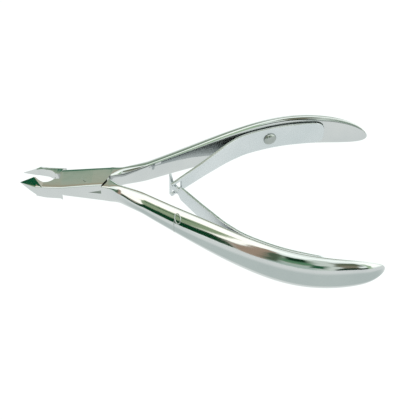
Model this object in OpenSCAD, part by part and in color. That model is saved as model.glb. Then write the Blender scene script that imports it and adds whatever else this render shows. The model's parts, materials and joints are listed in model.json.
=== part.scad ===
// Cuticle nipper: two crossed halves on a lap joint, held open by two interlocked leaf springs.
// Frame: jaws point to -X, handles to +X, the pivot axis is along Z, and z = 0 is under the handles.
// The halves are drawn about the pivot. Handles and springs are drawn at rest, jaws and joint closed.

/* [Overall] */
// Distance from the pivot axis back to the ends of the handles
handle_reach = 82; // [80:0.5:84]
// Distance from the pivot axis forward to the tips of the jaws
jaw_reach = 20; // [19:0.5:21]
// Angle between the halves at rest, which is how far they close
open_angle = 11.5; // [8:0.5:13]

/* [Joint] */
// Half width of the joint
joint_half_w = 3.7; // [3.5:0.05:3.9]
// Radius of the round shoulder behind the joint
lap_r = 5.35; // [5:0.05:5.6]
// Gap between the two lapped plates
lap_gap = 0.06; // [0.04:0.01:0.1]
// Height of the flat underside of the joint below the parting plane
joint_under = 2.8; // [2.6:0.1:3]
// Radius of the pivot rivet's shank
pivot_r = 1.6; // [1.4:0.1:1.8]
// Radial running clearance between the rivet and the half that turns on it
running = 0.04; // [0.02:0.01:0.08]

/* [Jaws] */
// Height of the heel of the cutting edge above the parting plane
heel_h = 3; // [2.6:0.1:3.4]
// Length of the cutting edge
edge_len = 3.9; // [3.5:0.1:4.3]
// Depth of the hollow in each jaw's inner face
hollow_depth = 1.25; // [0.8:0.05:1.4]
// Distance from the pivot axis to the middle of that hollow
hollow_x = 13; // [12.6:0.1:13.2]

/* [Springs] */
// Width of a leaf spring on its handle
leaf_w = 7.8; // [7:0.1:8.4]
// Width of a leaf spring halfway along its arm
leaf_mid_w = 5.6; // [5:0.1:6.4]
// Width of a leaf spring near the crossing
leaf_tip_w = 4.7; // [4.4:0.1:5]
// Thickness of a leaf spring
leaf_t = 0.8; // [0.6:0.1:1]
// Distance from the pivot axis to the point where the springs cross
cross_x = 24.4; // [23.5:0.1:25]
// Width of the neck that passes through the fork
neck_w = 2.2; // [1.8:0.1:2.4]
// Width of the slot in the fork
slot_w = 3; // [2.8:0.1:3.2]
// Width across the fishtail head
head_w = 8.6; // [7:0.2:9]
// Distance from the pivot axis to the rivets that hold the springs
spring_rivet_x = 51.3; // [50:0.1:53]
// Radius of a spring rivet's shank
spring_rivet_r = 1; // [0.8:0.1:1.2]
// Radius of a spring rivet's domed head
spring_head_r = 2; // [1.8:0.1:2.2]

/* [Hidden] */
$fn = 64;
steel = [0.80, 0.82, 0.82];
spring_steel = [0.73, 0.75, 0.76];

// Stations along a handle: distance behind the pivot, offset of the section's widest line from the
// closing plane, half height there, and how far the outer and the inner face stand off that line
HANDLE = [[6.5, 1.4, 3.2, 3.2, 0.4], [9, 2.5, 3.2, 3.5, 0.5], [16, 5.9, 3.1, 4, 0.8],
    [26, 11.7, 3.75, 4.55, 1], [36, 17.5, 4.7, 4.65, 1.3], [46, 23, 5.3, 4.25, 1.5],
    [56, 27.05, 5.5, 3.8, 1.6], [66, 28.7, 5.2, 3.35, 1.5], [75, 28.35, 4.25, 2.5, 1.1],
    [79.5, 27.45, 2.8, 1.7, 0.7], [handle_reach, 26.6, 1.4, 1, 0.4]];
steps = 4;            // sections between two stations
ring_n = 12;          // points round each face of a section
last = len(HANDLE) - 1;

mid_h = max([for (s = HANDLE) s[2]]);      // height of the parting plane above z = 0
pivot_x = (jaw_reach * cos(open_angle / 2) - handle_reach) / 2;  // halfway along the nipper
half_open = open_angle / 2;
half_gap = lap_gap / 2;
face_gap = 0.03;      // each inner face stops this far short of the closing plane
front_gap = 0.15;     // gap in front of the lapped plate when the jaws are shut

// Smooth curve through four values, s runs from 0 at b to 1 at c
function through(a, b, c, d, s) =
    b + 0.5 * s * (c - a + s * (2 * a - 5 * b + 4 * c - d + s * (3 * (b - c) + d - a)));
function station(i) = HANDLE[min(max(i, 0), last)];
function section(i, s) = through(station(i - 1), station(i), station(i + 1), station(i + 2), s);
SECTIONS = [for (i = [0 : last - 1], k = [0 : steps - 1]) section(i, k / steps), station(last)];

// Crest of the inner face at a distance x behind the pivot, and its direction there
function inner_y(x) = lookup(x, [for (s = SECTIONS) [s[0], s[1] - s[4]]]);
function inner_dir(x) = atan2(inner_y(x + 1) - inner_y(x - 1), 2);

// One section: half an ellipse for the outer face and a flatter half for the inner face
function ring(s) = [for (k = [0 : 2 * ring_n - 1]) let (a = 90 - 180 * k / ring_n)
    [s[0], s[1] + s[k > ring_n ? 4 : 3] * cos(a), s[2] * sin(a)]];

module handle(side) {
    n = 2 * ring_n;
    count = len(SECTIONS);
    points = [for (s = SECTIONS) each ring(s)];
    sides = [for (i = [0 : count - 2], k = [0 : n - 1]) let (j = (k + 1) % n)
        [i * n + k, i * n + j, (i + 1) * n + j, (i + 1) * n + k]];
    front = [for (k = [0 : n - 1]) n - 1 - k];
    back = [for (k = [0 : n - 1]) (count - 1) * n + k];
    mirror([0, side < 0 ? 1 : 0, 0])
        polyhedron(points, concat(sides, [front, back]), convexity = 6);
}

// Plan outlines of the half whose jaw is on -Y and whose plate is the upper one
// Front edge of the plate, from the closing plane to its outer edge, near enough round the pivot
shoulder = [[-8.8, 0], [-8.6, 1.9], [-8.25, 3.05], [-7.95, joint_half_w]];
rear_in = [5.3, -0.7];                  // rear edge of the plate near the middle
rear_out = [2.9, -4.2];                 // and past its outer edge
jaw_back = [[-8, -3.9], [-9.7, -3.75], [-12.7, -3.45], [-14.9, -3.15]];

module jaw_plan()
    polygon(concat([[0, -face_gap], [0, -joint_half_w]], jaw_back, [[-15.2, -face_gap]]));

module handle_root_plan()
    polygon([[0, face_gap], [6.2, face_gap], [8.4, 1.8], [8.4, 4.3], [4, joint_half_w + 0.1],
        [0, joint_half_w]]);

// The lapped plate without what lies in front of its shoulder, and the same grown by a gap
module plate_plan(grow = 0) {
    intersection() {
        circle(r = lap_r + grow);
        square([3 * lap_r, 2 * joint_half_w + 2], center = true);
    }
    polygon(concat([[0, -1]], [for (p = shoulder) p - [grow, 0]],
        [shoulder[3] + [-grow, 1], [0, joint_half_w + 1]]));
}

module upper_layer() {
    difference() {
        intersection() {
            plate_plan();
            square([30, 2 * joint_half_w], center = true);
        }
        polygon([rear_in, rear_out, [9, rear_out[1]], [9, rear_in[1]]]);
    }
    jaw_plan();
    handle_root_plan();
}

module lower_layer()
    difference() {
        union() {
            jaw_plan();
            handle_root_plan();
        }
        mirror([0, 1, 0]) plate_plan(front_gap);
    }

// Side view of the joint and the jaw's body, which gets thinner towards the jaws
module side_view()
    polygon([[9, 3.1], [2, 2.8], [-8, 2.2], [-16, 2], [-16, -1.4], [-14.9, -1.8], [-12.7, -2.2],
        [-8.2, -2.3], [-7.7, -joint_under], [9, -joint_under]]);

// The joint, and the body of the jaw on -Y, with the upper plate (up = 1) or the lower one (-1)
module joint_and_jaw(up)
    intersection() {
        mirror([0, 0, up < 0 ? 1 : 0]) mirror([0, up < 0 ? 1 : 0, 0]) {
            translate([0, 0, half_gap]) linear_extrude(4) upper_layer();
            translate([0, 0, -4]) linear_extrude(4 + half_gap) lower_layer();
        }
        translate([0, 8, 0]) rotate([90, 0, 0]) linear_extrude(16) side_view();
    }

// The blade: a bevelled wedge that rises from the tip to the heel of the cutting edge
module blade() {
    heel_x = -jaw_reach + edge_len;
    corners = [
        [-jaw_reach, -face_gap, 0.95], [-jaw_reach + 0.3, -face_gap, 0.3],
        [heel_x, -face_gap, heel_h], [heel_x + 1.1, -3.05, 1.45],
        [-17, -face_gap, -1], [-17, -1.9, -1],
        [-14.9, -face_gap, -1.8], [-14.9, -3.1, -1.8],
        [-13.2, -face_gap, 2.06], [-13.8, -3.25, 2.03]];
    hull() polyhedron(corners, [[0, 1, 2], [3, 4, 5], [6, 7, 8], [7, 8, 9]]);
}

// A jaw's inner face is hollowed behind the blade
module hollow() {
    r = (2.6 * 2.6 + hollow_depth * hollow_depth) / (2 * hollow_depth);
    translate([-hollow_x, r - hollow_depth, -6]) cylinder(r = r, h = 12, $fn = 96);
}

// A slope thins each jaw from below, down to a narrow inner face
relief_fall = 3.4;    // how the foot of the inner face falls towards the joint
module relief()
    translate([-jaw_reach, -0.05, 0.8]) rotate([0, relief_fall, 0]) rotate([45, 0, 0])
        translate([-1, -5, -6]) cube([9.6, 7, 6]);

// The jaw in front of the upper plate's shoulder has a round outer edge on top
module round_edge()
    translate([-30, -1.4, -0.2]) rotate([90, 0, 90]) linear_extrude(22.15) difference() {
        translate([-5, 0]) square(5);
        circle(r = 2.2);
    }

// One half: side is the side of its handle, 1 for +Y and -1 for -Y
module half_body(side)
    difference() {
        union() {
            handle(side);
            rotate([0, 0, half_open * side]) joint_and_jaw(side);
            rotate([0, 0, half_open * side]) mirror([0, side < 0 ? 1 : 0, 0]) blade();
        }
        rotate([0, 0, half_open * side]) mirror([0, side < 0 ? 1 : 0, 0]) {
            hollow();
            relief();
            if (side < 0) round_edge();
        }
        at_spring_rivet(side) translate([0, 0, -rivet_sink]) cylinder(r = spring_rivet_r, h = 4);
    }

module left_half() color(steel) placed() difference() {
    half_body(-1);
    pivot_shape(past = 1);
}

module right_half() color(steel) placed() difference() {
    half_body(1);
    pivot_shape(running, 1);
}

// Pivot rivet: a plain shank with a countersunk head ground flush at each end
pivot_top = 2.5;
sink = 0.8;
module pivot_shape(grow = 0, past = 0)
    rotate_extrude() polygon([[0, -joint_under - past], [pivot_r + sink + grow, -joint_under - past],
        [pivot_r + sink + grow, -joint_under], [pivot_r + grow, -joint_under + sink],
        [pivot_r + grow, pivot_top - sink], [pivot_r + sink + grow, pivot_top],
        [pivot_r + sink + grow, pivot_top + past], [0, pivot_top + past]]);

module pivot_rivet() color(steel) placed() pivot_shape();

// Springs: each lies along its handle's inner face, bends off it and runs straight to the crossing
leaf_gap = 0.06;      // gap between a leaf and its handle
clamp_end = 68;       // where the leaf ends on the handle
clamp_start = 45.5;   // where it starts to bend off the handle
arm_top = 37.5;       // where the straight arm starts, on the line from the crossing
arm_angle = 47.5;     // direction of that line
bend_n = 6;
fork_reach = 1.5;     // the fork's prongs end this far past the crossing
slot_len = 2.4;       // and its slot starts this far before it
head_reach = 2.1;     // and the fishtail this far

function on_handle(x) = [x, inner_y(x)] + (leaf_gap + leaf_t / 2) * [sin(inner_dir(x)), -cos(inner_dir(x))];
function on_arm(x) = [x, (x - cross_x) * tan(arm_angle)];
bend_corner = let (p = on_handle(clamp_start), d = inner_dir(clamp_start), q = on_arm(arm_top))
    let (x = (q[1] - p[1] - q[0] * tan(arm_angle) + p[0] * tan(d)) / (tan(d) - tan(arm_angle)))
    [x, p[1] + (x - p[0]) * tan(d)];
function bend(s) = (1 - s) * (1 - s) * on_handle(clamp_start) + 2 * s * (1 - s) * bend_corner
    + s * s * on_arm(arm_top);
function leaf_line(tip) = concat([for (x = [clamp_end : -1 : clamp_start]) on_handle(x)],
    [for (k = [1 : bend_n]) bend(k / bend_n)], [on_arm(cross_x - tip * cos(arm_angle))]);
function unit(v) = v / norm(v);
function along(l, i) = unit(l[min(i + 1, len(l) - 1)] - l[max(i - 1, 0)]);
function beside(l, i, d) = l[i] + d * [-along(l, i)[1], along(l, i)[0]];

// A strip that follows the leaf's line to a distance tip past the crossing
module strip(tip) {
    line = leaf_line(tip);
    translate([0, 0, -head_w]) linear_extrude(2 * head_w)
        polygon(concat([for (i = [0 : len(line) - 1]) beside(line, i, leaf_t / 2)],
            [for (i = [len(line) - 1 : -1 : 0]) beside(line, i, -leaf_t / 2)]));
}

// A leaf on the handle at side: the strip cut to an outline, which is drawn in the plane of the arm
// with its x measured from the crossing towards the handle
module leaf(side, tip)
    mirror([0, side < 0 ? 1 : 0, 0]) difference() {
        intersection() {
            strip(tip);
            translate([cross_x, 0, 0]) rotate([0, 0, arm_angle]) rotate([90, 0, 0])
                translate([0, 0, -30]) linear_extrude(60) children();
        }
        translate([spring_rivet_x, inner_y(spring_rivet_x), 0])
            rotate([0, 0, inner_dir(spring_rivet_x)]) rotate([90, 0, 0])
                cylinder(r = spring_rivet_r + 0.1, h = 6, center = true);
    }

// An outline from its upper half
module both_sides(half)
    polygon(concat(half, [for (i = [len(half) - 1 : -1 : 0]) [half[i][0], -half[i][1]]]));

leaf_sides = [[60, leaf_w / 2], [25, leaf_w / 2], [12, leaf_mid_w / 2]];
module right_spring() color(spring_steel) placed() leaf(1, fork_reach)
    difference() {
        both_sides(concat(leaf_sides, [[0, leaf_tip_w / 2], [-9, leaf_tip_w / 2]]));
        translate([-11, -slot_w / 2]) square([slot_len + 11, slot_w]);
    }

// The tongue: full width, neck, and the flare of the fishtail
module left_spring() color(spring_steel) placed() leaf(-1, head_reach)
    both_sides(concat(leaf_sides, [[3.3, leaf_tip_w / 2], [2, neck_w / 2], [-0.75, neck_w / 2],
        [-1.3, 1.9], [-head_reach, head_w / 2], [-head_reach - 1, head_w / 2]]));

// Spring rivets: a domed head over the leaf and a shank pressed into the handle
rivet_sink = 2.4;     // depth of the shank in the handle
dome_h = 0.9;
module at_spring_rivet(side)
    mirror([0, side < 0 ? 1 : 0, 0])
        translate([spring_rivet_x, inner_y(spring_rivet_x), 0])
            rotate([0, 0, inner_dir(spring_rivet_x)]) rotate([90, 0, 0]) children();

module spring_rivet(side) {
    under_head = leaf_t + 2 * leaf_gap;
    dome_r = (spring_head_r * spring_head_r + dome_h * dome_h) / (2 * dome_h);
    at_spring_rivet(side) {
        translate([0, 0, -rivet_sink]) cylinder(r = spring_rivet_r, h = rivet_sink + under_head);
        translate([0, 0, under_head]) rotate_extrude() intersection() {
            translate([0, dome_h - dome_r]) circle(r = dome_r, $fn = 96);
            square([spring_head_r, dome_h]);
        }
    }
}

module left_spring_rivet() color(steel) placed() spring_rivet(-1);
module right_spring_rivet() color(steel) placed() spring_rivet(1);

module placed() translate([pivot_x, 0, mid_h]) children();

left_half();
right_half();
pivot_rivet();
left_spring();
right_spring();
left_spring_rivet();
right_spring_rivet();
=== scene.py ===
import json
import math

import bmesh
import bpy
import numpy as np
from mathutils import Matrix, Vector


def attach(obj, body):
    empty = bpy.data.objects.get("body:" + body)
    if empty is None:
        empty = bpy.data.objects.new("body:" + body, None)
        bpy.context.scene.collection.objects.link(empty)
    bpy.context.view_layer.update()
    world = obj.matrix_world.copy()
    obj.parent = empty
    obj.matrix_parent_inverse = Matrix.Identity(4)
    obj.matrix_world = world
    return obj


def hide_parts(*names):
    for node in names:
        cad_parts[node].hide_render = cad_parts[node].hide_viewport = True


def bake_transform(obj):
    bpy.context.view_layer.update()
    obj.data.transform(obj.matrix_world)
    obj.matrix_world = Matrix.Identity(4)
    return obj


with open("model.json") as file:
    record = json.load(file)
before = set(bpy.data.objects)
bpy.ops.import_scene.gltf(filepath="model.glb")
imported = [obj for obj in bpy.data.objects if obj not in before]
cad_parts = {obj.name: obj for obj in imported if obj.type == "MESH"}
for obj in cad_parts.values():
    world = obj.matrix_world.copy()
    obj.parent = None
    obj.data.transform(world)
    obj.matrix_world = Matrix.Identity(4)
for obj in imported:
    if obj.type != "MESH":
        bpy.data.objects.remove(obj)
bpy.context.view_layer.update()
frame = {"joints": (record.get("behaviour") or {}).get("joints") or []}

# The pieces are drawn in millimetres about the pivot axis at the parting plane, and then moved
# into the frame. The jaws point to -X and the handles to +X. Side 1 is the half with its handle
# at +Y, side -1 the other.
joint = {j["name"]: j for j in frame["joints"]}
pivot = Vector(joint["squeeze"]["pos_m"])
half_open = math.radians(joint["squeeze"]["range_deg"][1]) / 2
INTO_FRAME = Matrix.Translation(pivot) @ Matrix.Diagonal((0.001, 0.001, 0.001, 1))

# Stations along a handle at rest: x, widest line of the section, outer and inner depth from it,
# half height. Past END_X the depths and the height close to a round end.
HANDLE = np.array([
    [16, 5.9, 4.0, 0.8, 3.1],
    [26, 11.7, 4.55, 1.0, 3.75],
    [36, 17.5, 4.65, 1.3, 4.7],
    [46, 23.0, 4.25, 1.5, 5.3],
    [56, 27.05, 3.8, 1.6, 5.5],
    [66, 28.7, 3.35, 1.5, 5.2],
    [75, 28.35, 2.76, 1.21, 4.69],
    [79.5, 27.45, 2.69, 1.1, 4.43],
    [82, 26.6, 2.5, 1.0, 4.2]])
END_X, REACH = 66.0, 82.0
# in the photo one handle looks a little longer than the other: what is added past UNEVEN_X, by side
UNEVEN_X, LONGER = 56.0, {1: -0.9, -1: 1.1}
# the widest line of a section lies this share of the half height below the middle, from x on
LOW = [(6.5, 0.0), (20, 0.24), (46, 0.3), (62, 0.4)]
JOINT_W = 3.7           # half width of the joint
LAP_R = 5.35            # radius of the round shoulder
BLADE_TIP = {1: -20.3, -1: -20}
LAP = 0.03              # the plates' faces stand this far off the parting plane
FACE = 0.03             # the inner faces stand this far off the closing plane
GAP = 0.06              # gap round the lapped plate
FAR = 9.0               # past every outline across, and past every plate in height
HOLLOW_R = 3.33         # radius of the hollow behind the blades
HOLLOW_AT = (-13.0, 2.08)
CORNER = 32             # degrees between faces from which an edge stays sharp
# the slanted shoulder in front, as x and half width, and the jaw's outer wall the same way
SHOULDER = [(-8.8, 0.0), (-8.6, 1.9), (-8.25, 3.05), (-7.95, 3.7)]
JAW_OUT = [(-15.2, 3.1), (-12.7, 3.45), (-9.7, 3.75), (-8.0, 3.9), (0.0, JOINT_W)]
# height above and depth below the parting plane, by x
TOP = [(-16, 2.0), (-8, 2.25), (2, 2.8), (9, 3.1), (16, 3.1)]
BOTTOM = [(-16, 1.5), (-12.7, 2.2), (-8.2, 2.3), (-7.7, 2.8), (6, 2.8), (16, 3.1)]

# the springs: thickness of a leaf, where the two cross, and the slope of an arm
LEAF_T, CROSS_X, ARM = 0.8, 24.4, math.radians(47.5)
# a leaf lies on its handle from CLAMP_END to CLAMP_START, and is straight from ARM_TOP on
CLAMP_END, CLAMP_START, ARM_TOP = 68.0, 45.5, 37.5
ROWS = [-1, -0.62, -0.2, 0.2, 0.62, 1]      # lines along a leaf, in half widths
SLOT_HALF = 1.5         # half width of the fork's slot
RIVET_X = 51.3          # the rivet that holds a leaf


def spline(xs, ys, x, start=None):
    """Cubic spline through the points; start is its slope at the first one."""
    xs, ys, x = np.array(xs, float), np.array(ys, float), np.atleast_1d(np.array(x, float))
    n, h = len(xs), np.diff(xs)
    a, r = np.eye(n), np.zeros(n)
    for i in range(1, n - 1):
        a[i, i - 1:i + 2] = h[i - 1], 2 * (h[i - 1] + h[i]), h[i]
        r[i] = 6 * ((ys[i + 1] - ys[i]) / h[i] - (ys[i] - ys[i - 1]) / h[i - 1])
    if start is not None:
        a[0, :2] = 2 * h[0], h[0]
        r[0] = 6 * ((ys[1] - ys[0]) / h[0] - start)
    m = np.linalg.solve(a, r)
    i = np.clip(np.searchsorted(xs, x) - 1, 0, n - 2)
    t, u = x - xs[i], xs[i + 1] - x
    return ((m[i] * u ** 3 + m[i + 1] * t ** 3) / (6 * h[i]) + (ys[i] / h[i] - m[i] * h[i] / 6) * u
            + (ys[i + 1] / h[i] - m[i + 1] * h[i] / 6) * t)


def smooth(a, b, x):
    """Eased step from 0 at a to 1 at b."""
    t = np.clip((np.asarray(x, float) - a) / (b - a), 0, 1)
    return t * t * (3 - 2 * t)


def mesh_of(verts, faces, name="part"):
    """Mesh from points and faces, with its faces turned outwards."""
    mesh = bpy.data.meshes.new(name)
    mesh.from_pydata([tuple(float(c) for c in v) for v in verts], [], [tuple(f) for f in faces])
    bm = bmesh.new()
    bm.from_mesh(mesh)
    bmesh.ops.recalc_face_normals(bm, faces=bm.faces)
    bm.to_mesh(mesh)
    bm.free()
    return mesh


def loft(rings, tip=None):
    """Closed skin through rings of equal length, with flat ends, or its far end closed on a tip."""
    n, count = len(rings[0]), len(rings)
    verts = [p for ring in rings for p in ring]
    faces = [(i * n + k, i * n + (k + 1) % n, (i + 1) * n + (k + 1) % n, (i + 1) * n + k)
             for i in range(count - 1) for k in range(n)]
    faces.append(tuple(reversed(range(n))))
    last = (count - 1) * n
    if tip is None:
        faces.append(tuple(last + k for k in range(n)))
    else:
        verts.append(tip)
        faces += [(last + k, last + (k + 1) % n, count * n) for k in range(n)]
    return mesh_of(verts, faces)


def prism(outline, low, high):
    """Upright prism over a plan outline."""
    return loft([[(x, y, z) for x, y in outline] for z in (low, high)])


def lathe(profile, steps=96):
    """Turned solid about Z: the profile runs from the axis to the axis as (radius, z)."""
    verts, faces = [(0, 0, profile[0][1])], []
    for r, z in profile[1:-1]:
        verts += [(r * math.cos(2 * math.pi * k / steps), r * math.sin(2 * math.pi * k / steps), z)
                  for k in range(steps)]
    verts.append((0, 0, profile[-1][1]))
    rows = len(profile) - 2
    for k in range(steps):
        j = (k + 1) % steps
        faces.append((0, 1 + j, 1 + k))
        faces += [tuple(1 + row * steps + turn for row, turn in ((i, k), (i, j), (i + 1, j), (i + 1, k)))
                  for i in range(rows - 1)]
        faces.append((1 + (rows - 1) * steps + k, 1 + (rows - 1) * steps + j, len(verts) - 1))
    return mesh_of(verts, faces)


def combine(body, tool, operation="DIFFERENCE"):
    """Exact boolean of two meshes, which are used up."""
    objects = [bpy.data.objects.new("operand", m) for m in (body, tool)]
    for o in objects:
        bpy.context.scene.collection.objects.link(o)
    step = objects[0].modifiers.new("combine", "BOOLEAN")
    step.operation, step.object, step.solver = operation, objects[1], "EXACT"
    bpy.context.view_layer.update()
    depsgraph = bpy.context.evaluated_depsgraph_get()
    made = bpy.data.meshes.new_from_object(objects[0].evaluated_get(depsgraph))
    for o in objects:
        bpy.data.objects.remove(o)
    for m in (body, tool):
        bpy.data.meshes.remove(m)
    bm = bmesh.new()
    bm.from_mesh(made)
    bmesh.ops.remove_doubles(bm, verts=bm.verts, dist=0.001)
    bmesh.ops.dissolve_degenerate(bm, edges=bm.edges, dist=0.0005)
    bm.to_mesh(made)
    bm.free()
    return made


def plan(side):
    """Turns a closed half's plan into its place at rest, mirrored for side -1."""
    return Matrix.Rotation(half_open * side, 4, "Z") @ Matrix.Diagonal((1, side, 1, 1))


def placed(mesh, matrix):
    """The mesh moved, and still right side out where the move mirrors it."""
    mesh.transform(matrix)
    if matrix.determinant() < 0:
        mesh.flip_normals()
    return mesh


# ---- Handles, joint and jaws ---------------------------------------------------------------------

def walls(x):
    """Plan of a half at rest, side 1: y of its outer and of its inner wall at x."""
    slope = math.tan(half_open)

    def straight(w, x):
        return w / math.cos(half_open) + x * slope

    # the joint's straight walls end at x 4 outside and 5.9 inside, and run on into the handle's
    outer_x = [4, 6.5, 9, 12] + list(HANDLE[:, 0])
    outer_y = [straight(JOINT_W, 4), 4.72, 6.0, 7.72] + list(HANDLE[:, 1] + HANDLE[:, 2])
    inner_x = [5.9, 9, 12] + list(HANDLE[:, 0])
    inner_y = [0.05 + 5.9 * slope, 2.0, 3.3] + list(HANDLE[:, 1] - HANDLE[:, 3])
    outer = straight(JOINT_W, x) if x < 4 else spline(outer_x, outer_y, x, slope)[0]
    if x < 5.5:
        inner = straight(-np.interp(x, *zip(*JAW_OUT)), x)
    else:
        inner = spline(inner_x, inner_y, max(x, 5.9))[0]
    return outer, inner


def skin(x, turns):
    """Points of a half's surface at x, side 1, at angles round it: 0 is outside and 90 on top."""
    round_off = float(smooth(5.0, 9.5, x))
    if x > 16:
        widest, out, inn, half = (spline(HANDLE[:, 0], HANDLE[:, k], x)[0] for k in (1, 2, 3, 4))
        close = math.sqrt(max(0, 1 - (max(x - END_X, 0) / (REACH - END_X)) ** 3))
        outer, inner = widest + out * close, widest - inn * close
        top = bottom = half * close
    else:
        outer, inner = walls(x)
        share = HANDLE[0, 3] / (HANDLE[0, 2] + HANDLE[0, 3])
        widest = inner + (outer - inner) * (0.5 + (share - 0.5) * float(smooth(5.5, 16, x)))
        top, bottom = np.interp(x, *zip(*TOP)), np.interp(x, *zip(*BOTTOM))
    low = -np.interp(x, *zip(*LOW)) * (top + bottom) / 2
    points = []
    for a in turns:
        c, s = math.cos(math.radians(a)), math.sin(math.radians(a))
        # the joint is square, and the handle's inside is flatter than its outside
        full = (0.92 if s > 0 else 0.7) if c < 0 else 1.12 if s > 0 else 1.0
        e = 0.1 + (full - 0.1) * round_off
        c, s = math.copysign(abs(c) ** e, c), math.copysign(abs(s) ** e, s)
        crown = 1 - 0.045 * (1 - round_off) * c * c
        points.append((x, widest + c * (outer - widest if c > 0 else widest - inner),
                       low + s * ((top - low) * crown if s > 0 else bottom + low)))
    return points


def arc(r, a, b, n=40):
    """Points round the origin, from a to b degrees."""
    turns = [math.radians(a + (b - a) * k / n) for k in range(n + 1)]
    return [(r * math.cos(t), r * math.sin(t)) for t in turns]


def blade(tip):
    """The bevelled wedge of a cutting edge, for the jaw at -Y, from its tip's x on."""
    edge = [(tip, -FACE, 0.95), (tip + 0.3, -FACE, 0.3), (-16.1, -FACE, 3.0)]
    outside = [(-15.0, -3.05, 1.45), (-13.8, -3.25, 2.03), (-13.2, -FACE, 2.06)]
    foot = [(-17, -FACE, -1), (-17, -1.9, -1), (-14.9, -FACE, -1.8), (-14.9, -3.1, -1.8)]
    bm = bmesh.new()
    for p in edge + outside + foot:
        bm.verts.new(p)
    bmesh.ops.convex_hull(bm, input=bm.verts)
    mesh = bpy.data.meshes.new("blade")
    bm.to_mesh(mesh)
    bm.free()
    return mesh


def forging(side):
    """A half before its cuts: a skin lofted from the front of the jaw to the end of the handle."""
    # the rings are closer together where the shape turns
    xs = list(np.arange(-15.2, -8.3, 1.0)) + [-8.2, -7.7, -6, -4, -2, 0, 2, 4, 5.4, 5.9]
    xs += list(np.arange(6.4, 20, 0.45)) + list(np.arange(20, END_X, 0.8))
    xs += [END_X + (REACH - END_X) * math.sin(math.pi / 2 * k / 36) for k in range(36)]
    turns = np.arange(1.875, 360, 3.75)
    body = loft([skin(x, turns) for x in xs], tip=(REACH, HANDLE[-1, 1], 0))
    return placed(body, Matrix.Diagonal((1, side, 1, 1)))


def lap_cuts():
    """What is cut from a half to leave its plate of the lap joint: outlines with their heights, for
    a closed half whose plate is the upper one."""
    start, end = SHOULDER[0][0], SHOULDER[-1][0]
    crotch = [(30, -FAR), (30, -0.5), (6.05, -0.5), (5.95, FACE)]
    # the plate's layer ends in front of the slanted shoulder, and behind the round one
    front = [(-30, -FACE), (start, -FACE)] + SHOULDER + [(end, FAR), (-30, FAR)]
    back = arc(LAP_R, 0.3, -7.5, 7) + [(2.94, -4.1), (2.94, -FAR)] + crotch
    # the other layer is left to the other half's plate
    other = [(-30, -FACE), (start - GAP, -FACE)] + [(x - GAP, -y) for x, y in SHOULDER[1:]]
    other += [(end - GAP, -FAR)] + crotch + arc(LAP_R + GAP, 0.3, 75) + [(1.5, FAR), (-30, FAR)]
    return (front, 0, FAR), (back, 0, FAR), (other, -FAR, LAP)


def hollow():
    """The round hollow behind the blades."""
    outline = [(x + HOLLOW_AT[0], y + HOLLOW_AT[1]) for x, y in arc(HOLLOW_R, 0, 357, 119)]
    return prism(outline, -6, 6)


def relief():
    """What thins a jaw from below: a slanted foot, by x and height."""
    foot = [(-30, 1.39), (-12.7, 0.37), (-11.4, -0.2), (-10.4, -1.6)]
    return loft([[(x, 0.5, z - 0.55), (x, -0.1, z + 0.05), (x, -2.6, z - 2.45),
                  (x, -2.6, -FAR), (x, 0.5, -FAR)] for x, z in foot])


def outer_edge():
    """What rounds the outer edge of the jaw in front of the other half's shoulder."""
    arch = [(-2.2 * math.cos(t), 2.2 * math.sin(t)) for t in np.linspace(-0.1, math.pi / 2, 12)]
    arch += [(0, 5.2), (-6, 5.2), (-6, -0.2)]
    ends = ((-30, 1.4, -0.2), (-13, 1.4, -0.2), (-7.5, 1.8, 0.1))
    return loft([[(x, y - at, z + rise) for y, z in arch] for x, at, rise in ends])


def half(side):
    """One half of the nipper. The upper plate belongs to side 1 and the lower one to side -1."""
    body = combine(forging(side), placed(blade(BLADE_TIP[side]), plan(side)), "UNION")
    upper = plan(side) @ Matrix.Diagonal((1, 1, side, 1))
    for outline, low, high in lap_cuts():
        body = combine(body, placed(prism(outline, low, high), upper))
    for cut in [hollow(), relief()] + ([outer_edge()] if side < 0 else []):
        body = combine(body, placed(cut, plan(side)))
    for v in body.vertices:
        v.co.x += LONGER[side] * float(smooth(UNEVEN_X, REACH, v.co.x))
    return body


def show(mesh, name, body, nodes, material):
    """Moves a mesh into the frame as a piece of the object, attached to its body if it has one."""
    placed(mesh, INTO_FRAME)
    mesh.name = name
    mesh.materials.clear()
    mesh.materials.append(material)
    mesh.shade_smooth()
    mesh.set_sharp_from_angle(angle=math.radians(CORNER))
    piece = bpy.data.objects.new(name, mesh)
    bpy.context.scene.collection.objects.link(piece)
    weighted = piece.modifiers.new("shading", "WEIGHTED_NORMAL")
    weighted.keep_sharp = True
    if nodes:
        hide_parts(*nodes)
    if body:
        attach(piece, body)
    return piece


def node(tree, kind, *inputs, **settings):
    """A node with its settings, whose inputs are values or other nodes' outputs, in order."""
    made = tree.nodes.new(kind)
    for key, value in settings.items():
        setattr(made, key, value)
    for socket, value in zip(made.inputs, inputs):
        if isinstance(value, bpy.types.NodeSocket):
            tree.links.new(value, socket)
        elif value is not None:
            socket.default_value = value
    return made


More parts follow.
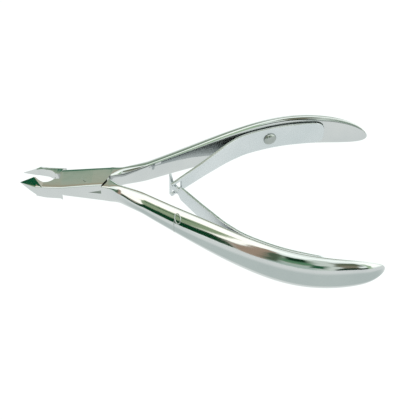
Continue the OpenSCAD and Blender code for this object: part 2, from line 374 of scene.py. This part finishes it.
def metal(name, dark, light, rough, grain, depth):
    """Steel: cloudy between two colours, with roughness from and to, and a fine grain's scale
    and depth."""
    m = bpy.data.materials.new(name)
    m.use_nodes = True
    tree = m.node_tree
    shader = tree.nodes["Principled BSDF"]
    shader.inputs["Metallic"].default_value = 1
    place = node(tree, "ShaderNodeTexCoord").outputs["Object"]
    cloud = node(tree, "ShaderNodeTexNoise", place, None, 90.0, 3.0).outputs[0]
    along = node(tree, "ShaderNodeMapping", place, None, None, grain).outputs[0]
    lines = node(tree, "ShaderNodeTexNoise", along, None, 1.0, 2.0).outputs[0]
    # painted highlight: the colour is lighter on sharp edges
    point = node(tree, "ShaderNodeNewGeometry").outputs["Pointiness"]
    edge = node(tree, "ShaderNodeMapRange", point, 0.52, 0.6, 0.0, 1.0).outputs[0]
    tint = node(tree, "ShaderNodeMapRange", cloud, 0.35, 0.65, 0.0, 1.0).outputs[0]
    tone_and_highlight = node(tree, "ShaderNodeMath", tint, edge, operation="MAXIMUM").outputs[0]
    color = node(tree, "ShaderNodeMix", data_type="RGBA")
    tree.links.new(tone_and_highlight, color.inputs[0])
    color.inputs[6].default_value = (*dark, 1)
    color.inputs[7].default_value = (*light, 1)
    tree.links.new(color.outputs[2], shader.inputs["Base Color"])
    both = node(tree, "ShaderNodeMath", cloud, lines, operation="MULTIPLY").outputs[0]
    both = node(tree, "ShaderNodeMapRange", both, 0.12, 0.4, *rough).outputs[0]
    tree.links.new(both, shader.inputs["Roughness"])
    # the grain, on a slightly wavy surface
    waves = node(tree, "ShaderNodeTexNoise", place, None, 260.0, 1.0).outputs[0]
    wavy = node(tree, "ShaderNodeBump", 1.0, 0.000016)
    tree.links.new(waves, wavy.inputs["Height"])
    bump = node(tree, "ShaderNodeBump", 0.3, depth)
    tree.links.new(lines, bump.inputs["Height"])
    tree.links.new(wavy.outputs[0], bump.inputs["Normal"])
    tree.links.new(bump.outputs[0], shader.inputs["Normal"])
    return m


def paint_outer_shade(steel, color):
    """Painted shade: multiplies the steel's colour on the outer walls of the handles, for a darker
    reflection. The near one is that dark in the photo: this is matched, and isn't known to be
    in the steel."""
    tree = steel.node_tree
    coordinates = node(tree, "ShaderNodeTexCoord").outputs
    spot = node(tree, "ShaderNodeSeparateXYZ", coordinates["Object"]).outputs
    facing = node(tree, "ShaderNodeSeparateXYZ", coordinates["Normal"]).outputs
    own_side = node(tree, "ShaderNodeMath", spot[1], operation="SIGN").outputs[0]
    outward = node(tree, "ShaderNodeMath", facing[1], own_side, operation="MULTIPLY").outputs[0]
    mask = None
    # mask of the painted shade: how far it faces out, how far back it is, and where a face turns under
    # or over
    for value, low, high in ((outward, 0.6, 0.85), (spot[0], -0.026, -0.014),
                             (facing[2], -0.2, -0.06), (facing[2], 0.36, 0.27)):
        part = node(tree, "ShaderNodeMapRange", value, low, high, 0.0, 1.0,
                    interpolation_type="SMOOTHSTEP").outputs[0]
        if mask is not None:
            part = node(tree, "ShaderNodeMath", mask, part, operation="MULTIPLY").outputs[0]
        mask = part
    base = tree.nodes["Principled BSDF"].inputs["Base Color"]
    mix = node(tree, "ShaderNodeMix", data_type="RGBA", blend_type="MULTIPLY")
    tree.links.new(mask, mix.inputs[0])
    tree.links.new(base.links[0].from_socket, mix.inputs[6])
    mix.inputs[7].default_value = (*color, 1)
    tree.links.new(mix.outputs[2], base)


polished = metal("polished_steel_look", (0.53, 0.55, 0.55), (0.57, 0.585, 0.58), (0.05, 0.11),
                 (300, 4000, 4000), 0.000002)
# painted shade: the outer walls of the handles made darker, for a darker reflection
paint_outer_shade(polished, (0.72, 0.77, 0.76))
capped = metal("rivet_steel_look", (0.3, 0.33, 0.31), (0.5, 0.52, 0.51), (0.12, 0.3),
               (1800, 1800, 1800), 0.000006)
sprung = metal("spring_steel_look", (0.54, 0.58, 0.59), (0.60, 0.63, 0.64), (0.26, 0.36),
               (250, 5000, 5000), 0.000003)

for side, name in ((1, "right_half"), (-1, "left_half")):
    show(half(side), name + "_body", name, [name], polished)


# ---- Ring mark on the left handle ----------------------------------------------------------------

def bead(places, r, closed):
    """A thin raised line on the left handle, through places given as x and an angle of its skin."""
    def at(x, a):
        return Vector(skin(x, [a])[0])

    verts, faces, n = [], [], 10
    points = [at(x, a) for x, a in places]
    count = len(points)
    for k, (x, a) in enumerate(places):
        after = points[(k + 1) % count] if closed else points[min(k + 1, count - 1)]
        t = (after - points[k - 1 if closed or k else 0]).normalized()
        up = (at(x, a + 3) - at(x, a - 3)).cross(at(x + 0.5, a) - at(x - 0.5, a)).normalized()
        if up.y < 0:
            up = -up
        over = t.cross(up).normalized()
        # an open line thins at its ends
        thick = r if closed or 0 < k < count - 1 else r * 0.3
        for j in range(n):
            v = 2 * math.pi * j / n
            verts.append(tuple(points[k] + thick * (math.cos(v) * up + math.sin(v) * over)))
    for k in range(count if closed else count - 1):
        for j in range(n):
            q, w = (k + 1) % count * n, (j + 1) % n
            faces.append((k * n + j, k * n + w, q + w, q + j))
    if not closed:
        faces += [tuple(range(n)), tuple((count - 1) * n + j for j in range(n))]
    return placed(mesh_of(verts, faces), Matrix.Diagonal((1, -1, 1, 1)))


# an oval ring on the handle's upper outside, and a hairline from it down the outside
RING_X, RING_AT = 26.3, 50
ring = [(RING_X + 0.85 * math.cos(u), RING_AT + 16 * math.sin(u))
        for u in np.linspace(0, 2 * math.pi, 48, endpoint=False)]
seam = [(RING_X - 1 + 0.1 * share, 38 - 68 * share) for share in np.linspace(0, 1, 17)]
show(bead(ring, 0.16, True), "handle_ring", "left_half", [], capped)
show(bead(seam, 0.09, False), "handle_seam", "left_half", [], capped)

# ---- Pivot rivet ---------------------------------------------------------------------------------

# a straight shank between two countersunk heads, ground flush
rivet = lathe([(0, -2.79), (1.6, -2.79), (2.36, -2.79), (2.38, -2.75), (1.6, -1.9),
               (1.6, 1.8), (2.38, 2.6), (2.36, 2.66), (1.6, 2.66), (0, 2.66)])
show(rivet, "pivot_rivet_body", "left_half", ["pivot_rivet"], polished)

# ---- Springs -------------------------------------------------------------------------------------

def on_handle(x, off):
    """Point at a distance off the crest of the inner face of the handle, side 1."""
    before, here, after = spline(HANDLE[:, 0], HANDLE[:, 1] - HANDLE[:, 3], [x - 0.5, x, x + 0.5])
    a = math.atan2(after - before, 1)
    return Vector((x + off * math.sin(a), here - off * math.cos(a)))


def on_arm(x):
    """Point of the straight arm's centre line, side 1."""
    return Vector((x, (x - CROSS_X) * math.tan(ARM)))


def leaf_line(past):
    """Centre line of a leaf from its end on the handle to a distance past the crossing."""
    off = 0.03 + LEAF_T / 2
    along = Vector((math.cos(ARM), math.sin(ARM)))
    # the bend between the handle's curve and the straight arm is a parabola through their corner
    p, q = on_handle(CLAMP_START, off), on_arm(ARM_TOP)
    d = (on_handle(CLAMP_START + 0.1, off) - p).normalized()
    corner = p + d * ((q - p).cross(along) / d.cross(along))
    line = [on_handle(x, off) for x in np.arange(CLAMP_END, CLAMP_START, -0.5)]
    line += [(1 - t) ** 2 * p + 2 * t * (1 - t) * corner + t * t * q
             for t in (k / 24 for k in range(25))]
    line += [on_arm(x) for x in np.arange(ARM_TOP - 0.75, CROSS_X + 4.2, -0.75)]
    # finer steps near the crossing, at the distances where the outline turns
    ends = sorted({5.6, 5, 4.4, 3.8, 3.6, 3.3, 3, 2.7, 2.4, 2, 1.2, 0.4,
                   -0.4, -0.75, -1, -1.3, -1.5, -1.7, -1.9, -past}, reverse=True)
    line = [p for p in line if (p - on_arm(CROSS_X)).length > 5.8]
    return line + [on_arm(CROSS_X) + along * s for s in ends if s >= -past]


def leaf_points(line, dist, cross, width, slotted):
    """Points of a leaf: at each place of the line, a row on the free face and one on the handle's."""
    points, last = [], len(line) - 1
    for i, here in enumerate(line):
        t = (line[min(i + 1, last)] - line[max(i - 1, 0)]).normalized()
        normal = Vector((-t.y, t.x)) * LEAF_T / 2
        w = width(cross - dist[i])
        # the end on the handle has rounded corners, and thins to the steel it lies on
        if dist[i] < 3:
            w *= 0.45 + 0.55 * math.sqrt(1 - (1 - dist[i] / 3) ** 2)
        for off in (float(smooth(0, 9, dist[i])), -1):
            p = here + normal * off
            # a fork's inner rows lie on the walls of its slot
            points += [(p.x, p.y, SLOT_HALF * v / ROWS[4] if slotted and abs(v) < 1 else w * v)
                       for v in ROWS]
    return points


def leaf_faces(used):
    """Faces of a leaf's used cells, by place along it and then across it, with walls round them."""
    m = len(ROWS)

    def at(i, face, k):
        return (i * 2 + face) * m + k

    def open_at(i, k):
        return not (0 <= i < len(used) and 0 <= k < m - 1 and used[i][k])

    faces = []
    for i, cells in enumerate(used):
        for k in (k for k in range(m - 1) if cells[k]):
            j, n = i + 1, k + 1
            faces.append((at(i, 0, k), at(j, 0, k), at(j, 0, n), at(i, 0, n)))
            faces.append((at(i, 1, n), at(j, 1, n), at(j, 1, k), at(i, 1, k)))
            if open_at(i, k - 1):
                faces.append((at(i, 0, k), at(i, 1, k), at(j, 1, k), at(j, 0, k)))
            if open_at(i, n):
                faces.append((at(i, 0, n), at(j, 0, n), at(j, 1, n), at(i, 1, n)))
            if open_at(i - 1, k):
                faces.append((at(i, 0, k), at(i, 0, n), at(i, 1, n), at(i, 1, k)))
            if open_at(j, k):
                faces.append((at(j, 0, n), at(j, 0, k), at(j, 1, k), at(j, 1, n)))
    return faces


def leaf(side, past, width, slot=None):
    """A leaf that ends past the crossing. Its half width is width(s) at a distance s before the
    crossing, and a fork's slot reaches slot before it."""
    line = leaf_line(past)
    dist = [0.0]
    for p, q in zip(line, line[1:]):
        dist.append(dist[-1] + (q - p).length)
    cross = dist[-1] - past
    sides = (0, len(ROWS) - 2)
    used = [[slot is None or k in sides or cross - d > slot + 1e-6 for k in range(len(ROWS) - 1)]
            for d in dist[:-1]]
    mesh = mesh_of(leaf_points(line, dist, cross, width, slot is not None), leaf_faces(used))
    bm = bmesh.new()
    bm.from_mesh(mesh)
    bmesh.ops.delete(bm, geom=[v for v in bm.verts if not v.link_faces], context="VERTS")
    rim = [e for e in bm.edges if len(e.link_faces) == 2 and e.calc_face_angle() > math.radians(50)]
    bmesh.ops.bevel(bm, geom=rim, offset=0.12, segments=2, profile=0.5, affect="EDGES",
                    clamp_overlap=True)
    bm.to_mesh(mesh)
    bm.free()
    return placed(mesh, Matrix.Diagonal((1, side, 1, 1)))


def body_width(s):
    """Half width of the forked leaf."""
    return float(np.interp(s, [0, 12, 25], [2.35, 2.8, 3.9]))


def tongue_width(s):
    """Half width of the leaf with a neck and a fishtail head."""
    return float(np.interp(s, [-2.1, -1.3, -0.75, 2.0, 3.3, 12, 25],
                           [4.3, 1.9, 1.1, 1.1, 2.35, 2.8, 3.9]))


for side, name, past, width, slot in (
        (1, "right", 1.5, body_width, 2.4),
        (-1, "left", 2.1, tongue_width, None)):
    piece = show(leaf(side, past, width, slot), name + "_spring_leaf", None,
                 [name + "_spring"], sprung)
    root, arm = on_handle(CLAMP_START + 1, 0.4), on_arm(ARM_TOP - 1)
    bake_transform(piece)
    # domed rivet head and its shank, square to the handle's inner face
    at = on_handle(RIVET_X, 0)
    along = on_handle(RIVET_X + 0.5, 0) - on_handle(RIVET_X - 0.5, 0)
    head = [(0, -2.4), (1, -2.4), (1, 0.9), (1.96, 0.9), (2.0, 0.98)]
    head += [(2.0 * math.cos(t), 0.98 + 0.84 * math.sin(t)) for t in np.linspace(0.15, 1.5, 12)]
    head.append((0, 1.82))
    upright = Matrix.Rotation(math.atan2(along.y, along.x), 4, "Z")
    upright @= Matrix.Rotation(math.pi / 2, 4, "X")
    spot = Matrix.Diagonal((1, side, 1, 1)) @ Matrix.Translation((at.x, at.y, 0))
    show(placed(lathe(head, 64), spot @ upright), name + "_spring_rivet_head", name + "_half",
         [name + "_spring_rivet"], capped)

# ---- Floor, light and camera ---------------------------------------------------------------------

corners = [(-4, -4, 0), (4, -4, 0), (4, 4, 0), (-4, 4, 0)]
floor = bpy.data.objects.new("floor", mesh_of(corners, [(0, 1, 2, 3)], "floor"))
bpy.context.scene.collection.objects.link(floor)
# a lit table, as under a light tent: it glows evenly, so nothing casts a shadow on it
table = bpy.data.materials.new("table")
table.use_nodes = True
tree = table.node_tree
shader = tree.nodes["Principled BSDF"]
shader.inputs["Base Color"].default_value = (0.02, 0.02, 0.02, 1)
shader.inputs["Roughness"].default_value = 1
shader.inputs["Specular IOR Level"].default_value = 0
shader.inputs["Emission Strength"].default_value = 1.06
glow = node(tree, "ShaderNodeMix", data_type="RGBA")
tree.links.new(node(tree, "ShaderNodeTexNoise", None, None, 2.0).outputs[0], glow.inputs[0])
glow.inputs[6].default_value = (0.95, 1.0, 0.985, 1)
glow.inputs[7].default_value = (0.97, 1.0, 0.995, 1)
tree.links.new(glow.outputs[2], shader.inputs["Emission Color"])
floor.data.materials.append(table)

world = bpy.data.worlds.new("studio")
bpy.context.scene.world = world
world.use_nodes = True
sky_tree = world.node_tree


def math_node(operation, *inputs):
    """Result of a math node of the world."""
    return node(sky_tree, "ShaderNodeMath", *inputs, operation=operation).outputs[0]


# where a ray points in the surroundings: degrees round from the front (-Y) towards +X, and up
direction = node(sky_tree, "ShaderNodeTexCoord").outputs["Generated"]
axes = node(sky_tree, "ShaderNodeSeparateXYZ", direction).outputs
around = math_node("DEGREES", math_node("ARCTAN2", axes[0], math_node("MULTIPLY", axes[1], -1.0)))
height = math_node("DEGREES", math_node("ARCSINE", axes[2]))
# the cards' edges waver a little, so that their reflections don't look ruled
waver = node(sky_tree, "ShaderNodeTexNoise", direction, None, 5.0, 3.0).outputs[1]
waver = node(sky_tree, "ShaderNodeSeparateColor", waver).outputs
wavy_around, wavy_height = (
    math_node("ADD", straight, math_node("MULTIPLY", math_node("SUBTRACT", off, 0.5), 14.0))
    for straight, off in ((around, waver[0]), (height, waver[1])))


def inside(value, centre, reach, soft):
    """1 within reach of the centre, falling to 0 over soft degrees."""
    off = math_node("ABSOLUTE", math_node("SUBTRACT", value, centre))
    return node(sky_tree, "ShaderNodeMapRange", off, reach - soft / 2, reach + soft / 2, 1.0, 0.0,
                interpolation_type="SMOOTHSTEP").outputs[0]


def linear(c):
    """A display value as light."""
    return c / 12.92 if c <= 0.04045 else ((c + 0.055) / 1.055) ** 2.4


def shade(color):
    """Light of the surroundings that the metal shows as this display colour."""
    reflected = 0.51
    return tuple(linear(c) / reflected for c in color) + (1,)


def card(below, a, e, half_a, half_e, soft, color, wavy=True):
    """A soft-edged card in the surroundings, over what is there already: degrees round and up,
    half its width and height in degrees, the width of its soft edge, and what the metal shows."""
    turned = math_node("SUBTRACT", wavy_around if wavy else around, a)
    turned = math_node("WRAP", turned, 180.0, -180.0)
    mask = math_node("MULTIPLY", inside(turned, 0.0, half_a, soft),
                     inside(wavy_height if wavy else height, e, half_e, soft))
    mix = node(sky_tree, "ShaderNodeMix", data_type="RGBA")
    sky_tree.links.new(mask, mix.inputs[0])
    sky_tree.links.new(below, mix.inputs[6])
    mix.inputs[7].default_value = shade(color)
    return mix.outputs[2]


sky = node(sky_tree, "ShaderNodeRGB").outputs[0]
sky.default_value = shade((0.84, 0.87, 0.85))
# The cards stand in for a room that the photo doesn't show: its reflections are green, olive and
# brown. Their places and colours are chosen by comparing renders with the photo.
for spec in (
        (0, 70, 70, 12, 10, (0.93, 0.95, 0.93)),
        (-10, 3, 26, 7, 6, (0.58, 0.64, 0.61)),
        (-10, 28, 22, 18, 8, (0.50, 0.56, 0.50)),
        (8, 30, 8, 30, 8, (0.72, 0.75, 0.72)),
        (-90, 52, 38, 26, 6, (1.0, 0.985, 0.95)),
        (-57, 40, 9, 30, 5, (1.0, 0.985, 0.95)),
        (-69, 34, 12, 14, 6, (0.50, 0.56, 0.45)),
        (-72, 12, 25, 10, 4, (0.03, 0.20, 0.11)),
        (-40, 26, 7, 26, 5, (0.56, 0.49, 0.43)),
        (-30, 24, 5, 20, 6, (0.27, 0.33, 0.26)),
        (-13, 21, 12, 6, 5, (0.30, 0.45, 0.34)),
        (-14, 34, 8, 9, 6, (0.03, 0.17, 0.09)),
        (3, 13, 5, 7, 5, (0.12, 0.30, 0.20)),
        (26, 30, 12, 14, 6, (0.33, 0.36, 0.29)),
        (24, 12, 7, 12, 5, (0.43, 0.42, 0.36)),
        (31, 3, 16, 5, 4, (0.04, 0.15, 0.10)),
        (72, 35, 24, 30, 8, (0.97, 0.98, 0.96)),
        (180, 53, 30, 9.5, 5, (0.57, 0.55, 0.48)),
        (180, 40.5, 30, 3.5, 5, (0.44, 0.52, 0.44)),
        (180, 31, 30, 7, 5, (0.17, 0.36, 0.28)),
        (138, 30, 16, 22, 6, (0.98, 0.98, 0.97)),
        (47, 14, 5, 22, 5, (0.56, 0.64, 0.54)),
        (-164, 0, 10, 28, 5, (0.50, 0.55, 0.49)),
        (-72.4, 37.9, 4, 4, 2, (0.04, 0.27, 0.17), False)):
    sky = card(sky, *spec)
sky_tree.links.new(sky, sky_tree.nodes["Background"].inputs["Color"])
sky_tree.nodes["Background"].inputs["Strength"].default_value = 1.0

bpy.context.scene.view_settings.view_transform = "Standard"

# the camera looks down at 45 degrees and is set back from a point on the nipper's middle line
back_off = 0.3
down, turn, roll = math.radians(44.91), math.radians(2.77), math.radians(-1.03)
aim = pivot + Vector((0.031, 0, 0))
right = Vector((math.cos(turn), math.sin(turn), 0))
up = Vector((-math.sin(turn) * math.sin(down), math.cos(turn) * math.sin(down), math.cos(down)))
ahead = up.cross(right)
camera = bpy.data.objects.new("camera", bpy.data.cameras.new("camera"))
camera.matrix_world = Matrix.Translation(aim - back_off * ahead) @ (
    Matrix((right, up, -ahead)).transposed().to_4x4() @ Matrix.Rotation(-roll, 4, "Z"))
camera.data.lens = 89.05
camera.data.sensor_width = 36
camera.data.shift_x = 0.0296
camera.data.shift_y = -0.0505
camera.data.clip_start = 0.01
bpy.context.scene.collection.objects.link(camera)
bpy.context.scene.camera = camera
